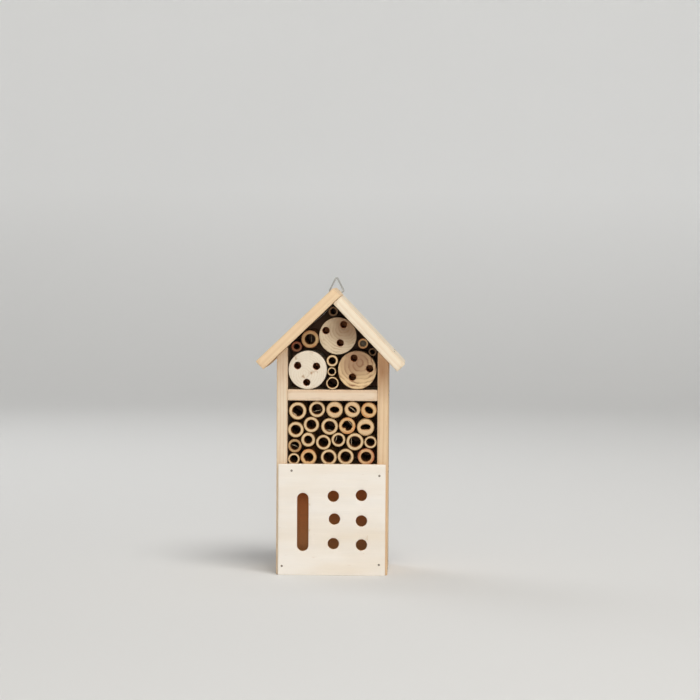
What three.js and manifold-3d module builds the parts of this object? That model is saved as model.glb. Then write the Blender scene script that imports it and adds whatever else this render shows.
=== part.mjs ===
/**
 * Insect hotel: a small wooden house with a gabled roof.
 *
 * Millimetres. +X is to the right of the front, +Y runs from the front to the back, +Z is up.
 * The origin is the centre of the base board's underside.
 */
import * as THREE from 'three';
import { mergeVertices } from 'three/addons/utils/BufferGeometryUtils.js';
import Module from 'manifold-3d';

const wasm = await Module();
wasm.setup();

// ---------------------------------------------------------------- driving dimensions

const DEG = Math.PI / 180;
const BOARD = 10; // thickness of every sawn board
const BOX_WIDTH = 103; // over the side boards
const BOX_DEPTH = 72; // side boards, front edge to back edge
const BACK_THICKNESS = 3;
const SHELF_TOPS = { lower: 101, upper: 171.2 };

const PANEL = { width: 99, height: 103, thickness: 4 };
const SLOT = { x: -26.7, width: 10.5, bottom: 22.4, top: 76.2 };
const PANEL_HOLE_RADIUS = 5.2;
const PANEL_HOLES = [
  [1.4, 73.3], [27.3, 74.3],
  [2.5, 52.2], [27.4, 50.7],
  [1.6, 29.5], [27.5, 28.5],
];

const ROOF = {
  ridgeX: 0.2, // the roof's inner apex
  ridgeZ: 251,
  skew: 1.3 * DEG, // the whole roof leans clockwise, seen from the front
  pitch: 45 * DEG,
  leftLength: 98, // the left board runs over the end of the right one
  rightLength: 86,
  frontOverhang: 10,
};

const EASING = 0.6; // worn arrises of the sawn boards
const FINE_EASING = 0.3; // arrises of the thin front panel
const FIT = 0.3; // gap where pieces meet at an angle or pass through each other
const OVERSHOOT = 1; // how far a cutting shape runs past the face that it opens

const SCREW = { headRadius: 2.7, headHeight: 1.3, shankRadius: 1.2, length: 12, point: 2 };
const NAIL = { headRadius: 1.1, headThickness: 0.6, shankRadius: 0.7, length: 18, point: 2 };

// Places down the depth, front to back
const FRONT = -BOX_DEPTH / 2;
const BACK = BOX_DEPTH / 2;
const REAR_FACE = BACK + BACK_THICKNESS;
const PANEL_FACE = FRONT - PANEL.thickness;
const ROOF_FACE = FRONT - ROOF.frontOverhang;
const INNER_HALF = BOX_WIDTH / 2 - BOARD;

const HANGER = {
  x: 0.4,
  barHeight: 261, // the ring turns about this height
  wireRadius: 0.75,
  ringHalfWidth: 7.4, // on the centre line of the wire, where its straight sides would meet
  ringPeak: 14.7,
  bendRadius: 1.2,
  eyeRadius: 0.95,
  strapThickness: 1.4, // folded double
  strapWidth: 10,
  strapBottom: ROOF.ridgeZ, // on the roof's end grain, clear of the back panel's peak
  strapNeck: 1, // between the eye and the flat of the strap
  tongueRadius: 4.5, // the strap's lower corners
  screwHeight: 254.6,
};
const EYE_OUTER = HANGER.eyeRadius + HANGER.strapThickness / 2;
const EYE_LIP = -0.35 * Math.PI; // where the eye's outside runs back into the strap

// Short lengths of drilled log: centre, radius, and the three blind holes (x, z, radius)
const LOG_HOLE_DEPTH = 55;
const LOG_RECESS = 1.5;
const LOGS = [
  { name: 'log_left', x: -23.1, z: 189.3, radius: 17.9, color: 0xe6dac2,
    holes: [[-32.4, 193.4, 3.4], [-15.0, 192.8, 3.4], [-24.0, 177.8, 3.3]] },
  { name: 'log_right', x: 22.5, z: 189.5, radius: 17.8, color: 0xd9b98c,
    holes: [[19.6, 200.5, 3.3], [34.1, 191.0, 3.4], [18.2, 183.1, 3.4]] },
  { name: 'log_top', x: 4.5, z: 221.0, radius: 17.3, color: 0xdcc09a,
    holes: [[9.9, 231.5, 3.3], [-6.4, 225.8, 3.4], [6.8, 214.5, 3.3]] },
];

// Bamboo canes: centre, outer radius, half width and half height of the bore, how far the
// bore is turned, and how far the cut end sits behind the front edge of the box
const UPPER_CANES = [
  { x: 0.1, z: 243.4, radius: 4.6, bore: [2.7, 2.7], turn: 0, recess: 3.5 },
  { x: -21.0, z: 217.8, radius: 8.2, bore: [4.8, 4.7], turn: 0, recess: 1.2 },
  { x: -33.4, z: 210.8, radius: 4.9, bore: [2.7, 2.6], turn: 0, recess: 2.0 },
  { x: 27.8, z: 214.0, radius: 4.8, bore: [2.9, 2.8], turn: 0, recess: 2.6 },
  { x: 36.6, z: 206.3, radius: 3.8, bore: [2.3, 2.2], turn: 0, recess: 3.8 },
  { x: -0.5, z: 198.0, radius: 5.4, bore: [3.3, 3.2], turn: 0, recess: 1.6 },
  { x: -0.9, z: 188.0, radius: 4.1, bore: [2.8, 2.7], turn: 0, recess: 2.4 },
  { x: -0.2, z: 177.4, radius: 5.9, bore: [4.5, 4.3], turn: 30 * DEG, recess: 1.0 },
];
const LOWER_CANES = [
  { x: -32.1, z: 151.5, radius: 8.2, bore: [5.0, 4.9], turn: 0, recess: 1.0 },
  { x: -14.3, z: 153.1, radius: 7.6, bore: [4.9, 4.7], turn: 0, recess: 1.8 },
  { x: 1.95, z: 152.8, radius: 7.8, bore: [4.3, 2.8], turn: -3 * DEG, recess: 0.8 },
  { x: 18.4, z: 153.2, radius: 7.5, bore: [4.1, 2.8], turn: -28 * DEG, recess: 1.2 },
  { x: 33.6, z: 152.6, radius: 7.4, bore: [4.1, 2.8], turn: -34 * DEG, recess: 1.5 },
  { x: -19.5, z: 138.9, radius: 7.3, bore: [4.4, 4.3], turn: 0, recess: 1.4 },
  { x: -33.8, z: 134.2, radius: 7.4, bore: [4.4, 4.3], turn: 0, recess: 0.7 },
  { x: -2.6, z: 137.3, radius: 7.9, bore: [4.9, 4.8], turn: 0, recess: 2.0 },
  { x: 13.6, z: 138.1, radius: 7.8, bore: [4.8, 4.5], turn: 20 * DEG, recess: 1.1 },
  { x: 30.6, z: 136.9, radius: 8.1, bore: [4.5, 2.8], turn: 4 * DEG, recess: 0.6 },
  { x: -22.4, z: 124.9, radius: 6.7, bore: [3.6, 3.6], turn: 0, recess: 1.9 },
  { x: -8.2, z: 122.6, radius: 7.0, bore: [4.5, 4.4], turn: 0, recess: 0.9 },
  { x: 5.6, z: 125.1, radius: 6.6, bore: [4.1, 4.1], turn: 0, recess: 1.6 },
  { x: 20.9, z: 123.4, radius: 8.1, bore: [5.2, 5.0], turn: 0, recess: 0.7 },
  { x: 35.2, z: 123.0, radius: 5.9, bore: [3.8, 3.6], turn: 0, recess: 2.2 },
  { x: -34.7, z: 119.2, radius: 6.4, bore: [3.9, 3.8], turn: 0, recess: 1.2 },
  { x: -35.5, z: 106.9, radius: 5.6, bore: [3.6, 3.5], turn: 0, recess: 1.7 },
  { x: -21.9, z: 108.8, radius: 7.6, bore: [4.3, 4.2], turn: 0, recess: 0.8 },
  { x: -3.2, z: 108.8, radius: 7.5, bore: [4.8, 4.7], turn: 0, recess: 1.0 },
  { x: 12.4, z: 109.4, radius: 7.6, bore: [4.8, 4.7], turn: 0, recess: 1.4 },
  { x: 31.2, z: 109.6, radius: 7.8, bore: [4.6, 4.5], turn: 0, recess: 0.9 },
];
const CANE_COLOR = 0xd6bb88;

// Nails through flat faces: x, z
const PANEL_NAILS = [[-37.2, 96.7], [43.7, 92.5], [-45.9, 8.4], [43.7, 10.2]];
const BACK_NAILS = [[-46.5, 182], [46.5, 180], [-46.5, 14], [46.5, 15]];
const ROOF_NAIL_DEPTHS = [-24, 25]; // y of the nails down each slope and along the ridge
const ROOF_NAIL_SET_IN = 2.2; // from the outer face of the side board to the nail

// ---------------------------------------------------------------- solids

/** A closed geometry as a solid that can be cut. */
function toSolid(geometry) {
  const bare = geometry.clone();
  bare.deleteAttribute('normal');
  bare.deleteAttribute('uv');
  const merged = mergeVertices(bare);
  const corners = merged.index.array;
  const triangles = [];
  for (let i = 0; i < corners.length; i += 3) {
    const [a, b, c] = corners.slice(i, i + 3);
    if (a !== b && b !== c && c !== a) {
      triangles.push(a, b, c); // a turned shape has collapsed triangles at its axis
    }
  }
  return new wasm.Manifold(new wasm.Mesh({
    numProp: 3,
    vertProperties: merged.attributes.position.array,
    triVerts: new Uint32Array(triangles),
  }));
}

/** A solid's surface as a geometry. */
function toGeometry(solid) {
  const surface = solid.getMesh();
  const geometry = new THREE.BufferGeometry();
  geometry.setAttribute('position', new THREE.BufferAttribute(surface.vertProperties, 3));
  geometry.setIndex(new THREE.BufferAttribute(surface.triVerts, 1));
  geometry.computeVertexNormals();
  return geometry;
}

/** A geometry with the given cutters taken away. */
function cut(geometry, cutters) {
  const solid = cutters.reduce((rest, cutter) => rest.subtract(toSolid(cutter)), toSolid(geometry));
  return toGeometry(solid);
}

/** An outline drawn in X and Z, filled from one depth to another, with eased front and back. */
function prism(shape, front, back, easing = 0, curveSegments = 10) {
  const geometry = new THREE.ExtrudeGeometry(shape, {
    depth: back - front - 2 * easing,
    curveSegments,
    bevelEnabled: easing > 0,
    bevelThickness: easing,
    bevelSize: easing,
    bevelOffset: -easing,
    bevelSegments: 1,
  });
  geometry.rotateX(Math.PI / 2);
  geometry.translate(0, back - easing, 0);
  return geometry;
}

/** A polygon from its corners. */
function polygon(corners) {
  return new THREE.Shape(corners.map(([x, z]) => new THREE.Vector2(x, z)));
}

/** A rectangle whose corners are rounded. */
function roundedRectangle(left, bottom, right, top, radius) {
  const shape = new THREE.Shape();
  shape.absarc(right - radius, bottom + radius, radius, -Math.PI / 2, 0, false);
  shape.absarc(right - radius, top - radius, radius, 0, Math.PI / 2, false);
  shape.absarc(left + radius, top - radius, radius, Math.PI / 2, Math.PI, false);
  shape.absarc(left + radius, bottom + radius, radius, Math.PI, 1.5 * Math.PI, false);
  shape.closePath();
  return shape;
}

/** A round hole for a shape. */
function roundHole(x, z, radius) {
  const hole = new THREE.Path();
  hole.absarc(x, z, radius, 0, 2 * Math.PI, true);
  return hole;
}

/** A named mesh with a material of its own. */
function piece(name, geometry, color, roughness = 0.75, metalness = 0) {
  const material = new THREE.MeshStandardMaterial({ color, roughness, metalness });
  const mesh = new THREE.Mesh(geometry, material);
  mesh.name = name;
  return mesh;
}

// ---------------------------------------------------------------- box

/** Height of the roof's underside above a place across the front. */
function undersideHeight(x) {
  const lean = x < ROOF.ridgeX ? -ROOF.skew : ROOF.skew;
  return ROOF.ridgeZ - Math.abs(x - ROOF.ridgeX) * Math.tan(ROOF.pitch + lean);
}

/** The same height, less the gap under the roof boards. */
function clearOfRoof(x) {
  return undersideHeight(x) - FIT / Math.cos(ROOF.pitch);
}

/** A side board, bevelled at the top to fit under the roof. */
function sideBoard(side) {
  const inner = side * INNER_HALF;
  const outer = side * BOX_WIDTH / 2;
  const [left, right] = side < 0 ? [outer, inner] : [inner, outer];
  const outline = polygon([
    [left, 0], [right, 0], [right, clearOfRoof(right)], [left, clearOfRoof(left)],
  ]);
  return prism(outline, FRONT, BACK, EASING / 2);
}

/** A board between the two side boards. */
function shelf(top) {
  const outline = polygon([
    [-INNER_HALF, top - BOARD], [INNER_HALF, top - BOARD], [INNER_HALF, top], [-INNER_HALF, top],
  ]);
  return prism(outline, FRONT, BACK, EASING / 2);
}

/** The gabled back panel. */
function backPanel() {
  const half = BOX_WIDTH / 2;
  const outline = polygon([
    [-half, 0], [half, 0], [half, clearOfRoof(half)],
    [ROOF.ridgeX, clearOfRoof(ROOF.ridgeX)], [-half, clearOfRoof(-half)],
  ]);
  return prism(outline, BACK, REAR_FACE);
}

/** The thin front panel, with an upright slot and two rows of round holes. */
function frontPanel() {
  const half = PANEL.width / 2;
  const outline = roundedRectangle(-half, 0, half, PANEL.height, 2 * FINE_EASING);
  for (const [x, z] of PANEL_HOLES) {
    outline.holes.push(roundHole(x, z, PANEL_HOLE_RADIUS));
  }
  const slot = new THREE.Path();
  const end = SLOT.width / 2;
  slot.absarc(SLOT.x, SLOT.bottom + end, end, 0, -Math.PI, true);
  slot.absarc(SLOT.x, SLOT.top - end, end, Math.PI, 0, true);
  slot.closePath();
  outline.holes.push(slot);
  return prism(outline, PANEL_FACE, FRONT, FINE_EASING, 9);
}

// ---------------------------------------------------------------- roof

/** A roof board lying flat: X along the slope, underside at z = 0. */
function roofBoard(start, end) {
  const section = roundedRectangle(start, 0, end, BOARD, 2 * EASING);
  return prism(section, ROOF_FACE, REAR_FACE, EASING, 3);
}

/** Both roof boards, turned to their slopes about the inner apex. */
function roof() {
  const left = piece('roof_board_left', roofBoard(BOARD - ROOF.leftLength, BOARD), 0xe4c79c);
  left.rotation.y = -ROOF.pitch;
  const right = piece('roof_board_right', roofBoard(FIT, ROOF.rightLength), 0xeddcc0);
  right.rotation.y = ROOF.pitch;
  const group = new THREE.Group();
  group.position.set(ROOF.ridgeX, 0, ROOF.ridgeZ);
  group.rotation.y = ROOF.skew;
  group.add(left, right);
  return { group, left, right };
}

// ---------------------------------------------------------------- nesting material

/** A length of log with its blind holes, drilled from the front. */
function log({ x, z, radius, holes }) {
  const start = FRONT + LOG_RECESS;
  const body = new THREE.Shape();
  body.absarc(x, z, radius, 0, 2 * Math.PI, false);
  const drills = holes.map(([holeX, holeZ, holeRadius]) => {
    const outline = new THREE.Shape();
    outline.absarc(holeX, holeZ, holeRadius, 0, 2 * Math.PI, false);
    return prism(outline, start - OVERSHOOT, start + LOG_HOLE_DEPTH, 0, 8);
  });
  return cut(prism(body, start, BACK - FIT, 0, 18), drills);
}

/** A length of cane, open right through. */
function cane({ radius, bore, turn, recess }) {
  const outline = new THREE.Shape();
  outline.absarc(0, 0, radius, 0, 2 * Math.PI, false);
  const hollow = new THREE.Path();
  hollow.absellipse(0, 0, bore[0], bore[1], 0, 2 * Math.PI, true, turn);
  outline.holes.push(hollow);
  return prism(outline, FRONT + recess, BACK - FIT, 0, 9);
}

/** A row of cane meshes in place. */
function canes(rows, prefix, color) {
  return rows.map((row, index) => {
    const number = String(index + 1).padStart(2, '0');
    const mesh = piece(`${prefix}_${number}`, cane(row), color, 0.6);
    mesh.position.set(row.x, 0, row.z);
    return mesh;
  });
}

// ---------------------------------------------------------------- nails and hanger

/** A body of revolution along -Y from a profile of radius and depth below the head's face. */
function turned(profile, segments = 8) {
  const points = profile.map(([radius, depth]) => new THREE.Vector2(radius, -depth));
  return new THREE.LatheGeometry(points.reverse(), segments);
}

/** A flat-headed nail, head at the origin, pointing along -Y. */
function nailShape(grow = 0) {
  const { headRadius, headThickness, shankRadius, length, point } = NAIL;
  return turned([
    [0, -grow], [headRadius + grow, -grow], [headRadius + grow, headThickness + grow],
    [shankRadius + grow, headThickness + grow], [shankRadius + grow, length - point], [0, length + grow],
  ]);
}

/** The room that a placed nail or screw needs in a board, in the board's own frame. */
function roomFor(fastener, clearance, board) {
  fastener.updateWorldMatrix(true, false);
  board.updateWorldMatrix(true, false);
  const toBoard = board.matrixWorld.clone().invert().multiply(fastener.matrixWorld);
  return clearance.clone().applyMatrix4(toBoard);
}

/** A nail that points along a direction, held in the frame of its parent. */
function nail(name, position, direction) {
  const mesh = piece(name, nailShape(), 0x8d8a84, 0.45, 0.9);
  mesh.position.copy(position);
  mesh.quaternion.setFromUnitVectors(new THREE.Vector3(0, -1, 0), direction);
  return mesh;
}

/** A path drawn in X and Z, as a curve in space. */
class UprightCurve extends THREE.Curve {
  constructor(path) {
    super();
    this.path = path;
  }

  getPoint(t, target = new THREE.Vector3()) {
    const { x, y } = this.path.getPoint(t);
    return target.set(x, 0, y);
  }
}

/** The wire ring: a triangle with rounded corners, standing on its bottom bar. */
function hangerRing() {
  const { ringHalfWidth, ringPeak, bendRadius, wireRadius } = HANGER;
  const baseAngle = Math.atan(ringPeak / ringHalfWidth);
  const sideNormal = Math.PI / 2 - baseAngle; // which way the right side faces
  const lowerX = ringHalfWidth - bendRadius / Math.tan(baseAngle / 2);
  const upperZ = ringPeak - bendRadius / Math.sin(sideNormal);
  const path = new THREE.Path();
  path.absarc(lowerX, bendRadius, bendRadius, -Math.PI / 2, sideNormal, false);
  path.absarc(0, upperZ, bendRadius, sideNormal, Math.PI - sideNormal, false);
  path.absarc(-lowerX, bendRadius, bendRadius, Math.PI - sideNormal, 1.5 * Math.PI, false);
  path.closePath();
  return new THREE.TubeGeometry(new UprightCurve(path), 72, wireRadius, 8, true);
}

/** The strap, seen from the side: a doubled strip with an eye at the top for the ring's bar. */
function hangerStrap() {
  const {
    x, barHeight, eyeRadius, strapBottom, strapNeck, strapThickness, strapWidth, screwHeight,
    tongueRadius,
  } = HANGER;
  const side = new THREE.Shape();
  side.moveTo(0, strapBottom);
  side.lineTo(strapThickness, strapBottom);
  side.lineTo(strapThickness, barHeight - EYE_OUTER - strapNeck);
  side.absarc(EYE_OUTER, barHeight, EYE_OUTER, EYE_LIP, Math.PI, false);
  side.closePath();
  side.holes.push(roundHole(EYE_OUTER, barHeight, eyeRadius));
  const strip = new THREE.ExtrudeGeometry(side, {
    depth: strapWidth, curveSegments: 10, bevelEnabled: false,
  });
  // The extrusion runs along +Z with the side view in X and Y: turn it to run along X.
  strip.applyMatrix4(new THREE.Matrix4().set(
    0, 0, 1, x - strapWidth / 2,
    1, 0, 0, REAR_FACE,
    0, 1, 0, 0,
    0, 0, 0, 1,
  ));
  const tongue = roundedRectangle(
    x - strapWidth / 2, strapBottom, x + strapWidth / 2, barHeight + strapWidth / 2, tongueRadius,
  );
  tongue.holes.push(roundHole(x, screwHeight, SCREW.shankRadius + FIT));
  const thick = prism(tongue, REAR_FACE - OVERSHOOT, REAR_FACE + 2 * EYE_OUTER + OVERSHOOT);
  return toGeometry(toSolid(strip).intersect(toSolid(thick)));
}

/** The pan-headed screw that holds the strap. */
function screwShape(grow = 0) {
  const { headRadius, headHeight, shankRadius, length, point } = SCREW;
  return turned([
    [0, -headHeight - grow], [headRadius * 0.6, -headHeight - grow], [headRadius, -headHeight / 3],
    [headRadius, 0], [shankRadius + grow, 0], [shankRadius + grow, length - point],
    [0, length + grow],
  ], 16);
}

// ---------------------------------------------------------------- assembly

const hotel = new THREE.Group();

const sideLeft = piece('side_board_left', sideBoard(-1), 0xe6d0b4);
const sideRight = piece('side_board_right', sideBoard(1), 0xe1c5a0);
const base = piece('base_board', shelf(BOARD), 0xddc29a);
const shelfLower = piece('shelf_lower', shelf(SHELF_TOPS.lower), 0xdcc29c);
const shelfUpper = piece('shelf_upper', shelf(SHELF_TOPS.upper), 0xdcc4a0);
const back = piece('back_panel', backPanel(), 0x8a6a48, 0.85);
const front = piece('front_panel', frontPanel(), 0xf0e6d6, 0.7);
const { group: roofGroup, left: roofLeft, right: roofRight } = roof();
hotel.add(sideLeft, sideRight, base, shelfLower, shelfUpper, back, front, roofGroup);

for (const entry of LOGS) {
  hotel.add(piece(entry.name, log(entry), entry.color, 0.8));
}
hotel.add(...canes(UPPER_CANES, 'cane_upper', CANE_COLOR));
hotel.add(...canes(LOWER_CANES, 'cane_lower', CANE_COLOR));

const rooms = new Map(); // each board, with the room that its fasteners need

/** Adds a fastener to its parent, and keeps room for it in each board that it passes through. */
function fasten(parent, fastener, clearance, boards) {
  parent.add(fastener);
  for (const board of boards) {
    const kept = rooms.get(board) ?? [];
    rooms.set(board, [...kept, roomFor(fastener, clearance, board)]);
  }
}

const nailRoom = nailShape(FIT);
const inward = new THREE.Vector3(0, 1, 0);
const outward = new THREE.Vector3(0, -1, 0);
const down = new THREE.Vector3(0, 0, -1);

PANEL_NAILS.forEach(([x, z], index) => {
  const pin = nail(`panel_nail_${index + 1}`, new THREE.Vector3(x, PANEL_FACE, z), inward);
  const anchor = [shelfLower, sideRight, sideLeft, sideRight][index];
  fasten(hotel, pin, nailRoom, [front, anchor]);
});

BACK_NAILS.forEach(([x, z], index) => {
  const pin = nail(`back_nail_${index + 1}`, new THREE.Vector3(x, REAR_FACE, z), outward);
  fasten(hotel, pin, nailRoom, [back, x < 0 ? sideLeft : sideRight]);
});

const nailEntry = BOX_WIDTH / 2 - ROOF_NAIL_SET_IN;
const leftReach = (nailEntry + ROOF.ridgeX) / Math.cos(ROOF.pitch - ROOF.skew);
const rightReach = (nailEntry - ROOF.ridgeX) / Math.cos(ROOF.pitch + ROOF.skew);

ROOF_NAIL_DEPTHS.forEach((y, index) => {
  const number = index + 1;
  const leftNail = nail(`roof_nail_left_${number}`, new THREE.Vector3(-leftReach, y, BOARD), down);
  fasten(roofLeft, leftNail, nailRoom, [roofLeft, sideLeft]);
  const rightNail = nail(`roof_nail_right_${number}`, new THREE.Vector3(rightReach, y, BOARD), down);
  fasten(roofRight, rightNail, nailRoom, [roofRight, sideRight]);
  const ridgeNail = nail(`ridge_nail_${number}`, new THREE.Vector3(BOARD / 2, y, BOARD), down);
  fasten(roofLeft, ridgeNail, nailRoom, [roofLeft, roofRight]);
});

const ring = piece('hanger_ring', hangerRing(), 0x9a9a96, 0.35, 1);
ring.position.set(HANGER.x, REAR_FACE + EYE_OUTER, HANGER.barHeight);
const strap = piece('hanger_strap', hangerStrap(), 0xa3a19b, 0.4, 1);
const screw = piece('hanger_screw', screwShape(), 0x9c9a92, 0.4, 1);
screw.position.set(HANGER.x, REAR_FACE + HANGER.strapThickness, HANGER.screwHeight);
hotel.add(ring, strap);
fasten(hotel, screw, screwShape(FIT), [roofLeft]);

for (const [board, clearances] of rooms) {
  board.geometry = cut(board.geometry, clearances);
}

export default hotel;
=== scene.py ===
"""The insect hotel's looks: detailed boards, logs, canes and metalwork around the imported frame.

Places and outlines come from the CAD nodes. Lengths are in metres.
"""
import math
import random
from collections import namedtuple

import bmesh
import bpy
import numpy as np
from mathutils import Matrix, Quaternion, Vector, noise
from mathutils.geometry import delaunay_2d_cdt


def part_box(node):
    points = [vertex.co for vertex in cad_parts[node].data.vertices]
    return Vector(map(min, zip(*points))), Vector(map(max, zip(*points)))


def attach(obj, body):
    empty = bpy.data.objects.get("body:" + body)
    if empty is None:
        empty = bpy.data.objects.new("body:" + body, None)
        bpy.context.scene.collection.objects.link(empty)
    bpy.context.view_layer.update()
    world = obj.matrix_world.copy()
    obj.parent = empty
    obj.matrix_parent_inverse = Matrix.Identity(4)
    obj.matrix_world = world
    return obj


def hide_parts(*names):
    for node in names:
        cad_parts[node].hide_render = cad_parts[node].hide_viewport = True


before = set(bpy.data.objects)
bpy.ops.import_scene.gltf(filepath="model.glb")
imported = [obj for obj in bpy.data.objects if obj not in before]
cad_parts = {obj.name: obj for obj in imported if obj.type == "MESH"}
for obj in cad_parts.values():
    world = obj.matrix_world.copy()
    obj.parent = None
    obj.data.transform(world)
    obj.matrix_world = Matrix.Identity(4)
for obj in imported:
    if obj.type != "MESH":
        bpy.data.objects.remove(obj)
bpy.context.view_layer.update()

MM = 0.001
HOUSE = "house"
RING = "ring"
TAU = 2 * math.pi
X, Y, Z = Vector((1, 0, 0)), Vector((0, 1, 0)), Vector((0, 0, 1))
NOISE_SEED = 1
noise.seed_set(NOISE_SEED)  # or its waves would start from the time of day

# ---------------------------------------------------------------- camera, lights and floor

AIM = Vector((0.0159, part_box("side_board_left")[0].y, 0.2081))  # the middle of the picture
VIEW_DISTANCE = 1.845
VIEW_AZIMUTH = math.radians(1.77)
VIEW_ELEVATION = math.radians(2.09)
VIEW_ROLL = math.radians(0.32)
LENS = 103.1
SENSOR = 36


def in_scene(name, data):
    """A new object in the scene."""
    thing = bpy.data.objects.new(name, data)
    bpy.context.scene.collection.objects.link(thing)
    return thing


def aim(thing, place, target, roll=0.0):
    """Puts a camera or a light in its place, pointing at a target."""
    thing.location = place
    thing.rotation_mode = "QUATERNION"
    turn = (Vector(target) - Vector(place)).to_track_quat("-Z", "Y")
    thing.rotation_quaternion = turn @ Quaternion(Z, roll)


def make_camera():
    """A long lens, a little to the right of the front and a little above it."""
    data = bpy.data.cameras.new("camera")
    data.lens = LENS
    data.sensor_width = SENSOR
    data.clip_start = 0.01
    data.clip_end = 50
    level = math.cos(VIEW_ELEVATION)
    back = Vector((
        math.sin(VIEW_AZIMUTH) * level, -math.cos(VIEW_AZIMUTH) * level, math.sin(VIEW_ELEVATION),
    ))
    camera = in_scene("camera", data)
    aim(camera, AIM + back * VIEW_DISTANCE, AIM, VIEW_ROLL)
    bpy.context.scene.camera = camera


def area_light(name, place, size, power, colour, target=AIM):
    """A square soft light that points at the object, or at another target."""
    data = bpy.data.lights.new(name, "AREA")
    data.size = size
    data.energy = power
    data.color = colour
    light = in_scene(name, data)
    light.visible_camera = False
    aim(light, place, target)


def make_lights():
    """Soft studio daylight: a pale sky, a key from the upper right, a front light, and two behind."""
    world = bpy.data.worlds.new("sky")
    world.use_nodes = True
    background = world.node_tree.nodes["Background"]
    background.inputs["Color"].default_value = (0.94, 0.97, 1.0, 1)
    background.inputs["Strength"].default_value = 0.14
    bpy.context.scene.world = world
    area_light("key", (0.6, -1.0, 2.2), size=1.2, power=38.5, colour=(1.0, 0.98, 0.95))
    area_light("front", (0.1, -2.35, 0.36), size=0.5, power=14, colour=(1.0, 0.975, 0.94))
    area_light("rim", (-1.5, 1.3, 1.5), size=1.2, power=10, colour=(0.95, 0.97, 1.0))
    area_light("backdrop", (0, 0.9, 2.3), size=1.6, power=20, colour=(1.0, 1.0, 1.0),
               target=(0, 3.4, 0.6))
    bpy.context.scene.view_settings.view_transform = "Standard"


COVE_FLOOR = 2.4  # radius of its flat part
COVE_BEND = 1.2
COVE_TOP = 2.6
COVE_SIDES = 72


def make_floor():
    """A round studio cove: a plain pale floor that curves up into a wall on every side."""
    bend = [math.radians(a) for a in range(0, 91, 9)]
    profile = [(COVE_FLOOR + COVE_BEND * math.sin(a), COVE_BEND * (1 - math.cos(a))) for a in bend]
    profile += [(COVE_FLOOR + COVE_BEND, COVE_TOP)]
    solid = Solid()
    rows = solid.loft([
        (Z * height, X, Y, circle((0, 0), reach, COVE_SIDES)) for reach, height in profile
    ])
    solid.tip(rows[0], (0, 0, 0))
    paint = Paint("floor")
    height = paint.ramp(paint.part(paint.place, "Z"), (0, 0), (0.5, 1))
    colour = paint.mix(height, (220.59, 219.91, 217.85), (246.99, 246.99, 245.81))
    solid.build("floor", paint.finish(colour, 0.9))


# ---------------------------------------------------------------- material nodes

def linear(colour):
    """The shader's colour for one given as it looks on a screen, 0 to 255. A socket stays one."""
    if isinstance(colour, bpy.types.NodeSocket):
        return colour
    levels = [level / 255 for level in colour]
    return (*(v / 12.92 if v <= 0.04045 else ((v + 0.055) / 1.055) ** 2.4 for v in levels), 1.0)


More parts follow.
